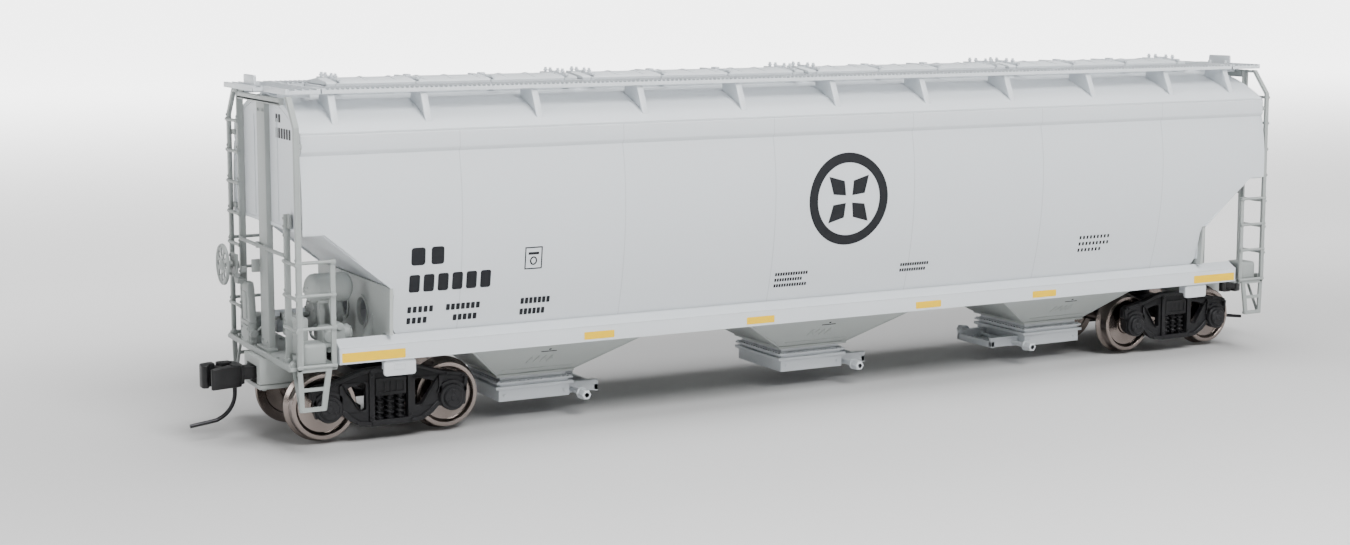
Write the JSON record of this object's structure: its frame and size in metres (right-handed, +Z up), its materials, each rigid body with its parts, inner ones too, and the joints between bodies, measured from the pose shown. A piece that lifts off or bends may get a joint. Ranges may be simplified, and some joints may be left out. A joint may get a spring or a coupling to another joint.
{
  "type": "model hopper car",
  "caption": "Model railway covered hopper car with curved sides, roof hatches, outlet gates, swivelling trucks, metal wheelsets, sprung knuckle couplers and a turning brake wheel.",
  "frame": {"origin": "middle of the car's bounding box at the height of the wheel flanges' lowest points", "axes": "+X along the car towards the end without the brake wheel, +Y across the car, +Z up"},
  "size_m": [0.2188, 0.0368, 0.0571],
  "materials": {
    "body_grey": "light grey paint on moulded plastic, satin",
    "frame_grey": "light grey moulded plastic, satin",
    "black_plastic": "black moulded plastic, satin",
    "wheel_metal": "turned metal, blackened nickel",
    "axle_metal": "turned steel",
    "pin_steel": "blackened steel wire",
    "screw_steel": "blackened steel screw",
    "weight_steel": "plain steel bar"
  },
  "bodies": {
    "car_body": {"body_shell": "body_grey", "roof": "body_grey", "hatch_cover_1": "body_grey", "hatch_cover_2": "body_grey", "hatch_cover_3": "body_grey", "hatch_cover_4": "body_grey", "running_board_left": "frame_grey", "running_board_right": "frame_grey", "end_walkway_b": "frame_grey", "end_walkway_a": "frame_grey", "side_sill_left": "body_grey", "side_sill_right": "body_grey", "hopper_bay_1": "body_grey", "hopper_bay_2": "body_grey", "hopper_bay_3": "body_grey", "outlet_gate_1": "frame_grey", "outlet_gate_2": "frame_grey", "outlet_gate_3": "frame_grey", "end_platform_b": "frame_grey", "end_platform_a": "frame_grey", "stub_sill_b": "frame_grey", "stub_sill_a": "frame_grey", "draft_box_lid_b": "frame_grey", "draft_box_lid_a": "frame_grey", "centre_post_b": "frame_grey", "centre_post_a": "frame_grey", "corner_ladder_b_tall": "frame_grey", "corner_ladder_b_short": "frame_grey", "corner_ladder_a_tall": "frame_grey", "corner_ladder_a_short": "frame_grey", "brake_gearbox": "frame_grey", "brake_housing": "frame_grey", "air_reservoir": "frame_grey", "brake_cylinder": "frame_grey", "control_valve": "frame_grey", "ballast_weight": "weight_steel", "truck_screw_b": "screw_steel", "truck_screw_a": "screw_steel"},
    "brake_hand_wheel": {"brake_wheel": "frame_grey"},
    "truck_b": {"truck_frame_b": "black_plastic"},
    "truck_a": {"truck_frame_a": "black_plastic"},
    "wheelset_1": {"axle_1": "axle_metal", "wheel_1_left": "wheel_metal", "wheel_1_right": "wheel_metal"},
    "wheelset_2": {"axle_2": "axle_metal", "wheel_2_left": "wheel_metal", "wheel_2_right": "wheel_metal"},
    "wheelset_3": {"axle_3": "axle_metal", "wheel_3_left": "wheel_metal", "wheel_3_right": "wheel_metal"},
    "wheelset_4": {"axle_4": "axle_metal", "wheel_4_left": "wheel_metal", "wheel_4_right": "wheel_metal"},
    "coupler_arm_b": {"coupler_b": "black_plastic", "trip_pin_b": "pin_steel"},
    "coupler_arm_a": {"coupler_a": "black_plastic", "trip_pin_a": "pin_steel"},
    "knuckle_jaw_b": {"knuckle_b": "black_plastic"},
    "knuckle_jaw_a": {"knuckle_a": "black_plastic"}
  },
  "joints": [
    {"name": "truck_b_swivel", "type": "hinge", "parent": "car_body", "child": "truck_b", "pos_m": [-0.0807, 0, 0.0106], "axis": [0, 0, 1], "range_deg": [-9, 9]},
    {"name": "truck_a_swivel", "type": "hinge", "parent": "car_body", "child": "truck_a", "pos_m": [0.0807, 0, 0.0106], "axis": [0, 0, 1], "range_deg": [-9, 9]},
    {"name": "wheelset_1_spin", "type": "hinge", "parent": "truck_b", "child": "wheelset_1", "pos_m": [-0.0909, 0, 0.00585], "axis": [0, 1, 0], "continuous": true},
    {"name": "wheelset_2_spin", "type": "hinge", "parent": "truck_b", "child": "wheelset_2", "pos_m": [-0.0705, 0, 0.00585], "axis": [0, 1, 0], "continuous": true},
    {"name": "wheelset_3_spin", "type": "hinge", "parent": "truck_a", "child": "wheelset_3", "pos_m": [0.0705, 0, 0.00585], "axis": [0, 1, 0], "continuous": true},
    {"name": "wheelset_4_spin", "type": "hinge", "parent": "truck_a", "child": "wheelset_4", "pos_m": [0.0909, 0, 0.00585], "axis": [0, 1, 0], "continuous": true},
    {"name": "coupler_b_swing", "type": "hinge", "parent": "car_body", "child": "coupler_arm_b", "pos_m": [-0.0945, 0, 0.0105], "axis": [0, 0, 1], "range_deg": [-12, 12], "stiffness_Nm_per_rad": 0.02},
    {"name": "coupler_a_swing", "type": "hinge", "parent": "car_body", "child": "coupler_arm_a", "pos_m": [0.0945, 0, 0.0105], "axis": [0, 0, 1], "range_deg": [-12, 12], "stiffness_Nm_per_rad": 0.02},
    {"name": "knuckle_b_open", "type": "hinge", "parent": "coupler_arm_b", "child": "knuckle_jaw_b", "pos_m": [-0.1038, 0.0014, 0.0104], "axis": [0, 0, -1], "range_deg": [0, 25], "stiffness_Nm_per_rad": 0.01},
    {"name": "knuckle_a_open", "type": "hinge", "parent": "coupler_arm_a", "child": "knuckle_jaw_a", "pos_m": [0.1038, -0.0014, 0.0104], "axis": [0, 0, -1], "range_deg": [0, 25], "stiffness_Nm_per_rad": 0.01},
    {"name": "brake_wheel_spin", "type": "hinge", "parent": "car_body", "child": "brake_hand_wheel", "pos_m": [-0.101, 0.0095, 0.0265], "axis": [1, 0, 0], "continuous": true}
  ]
}
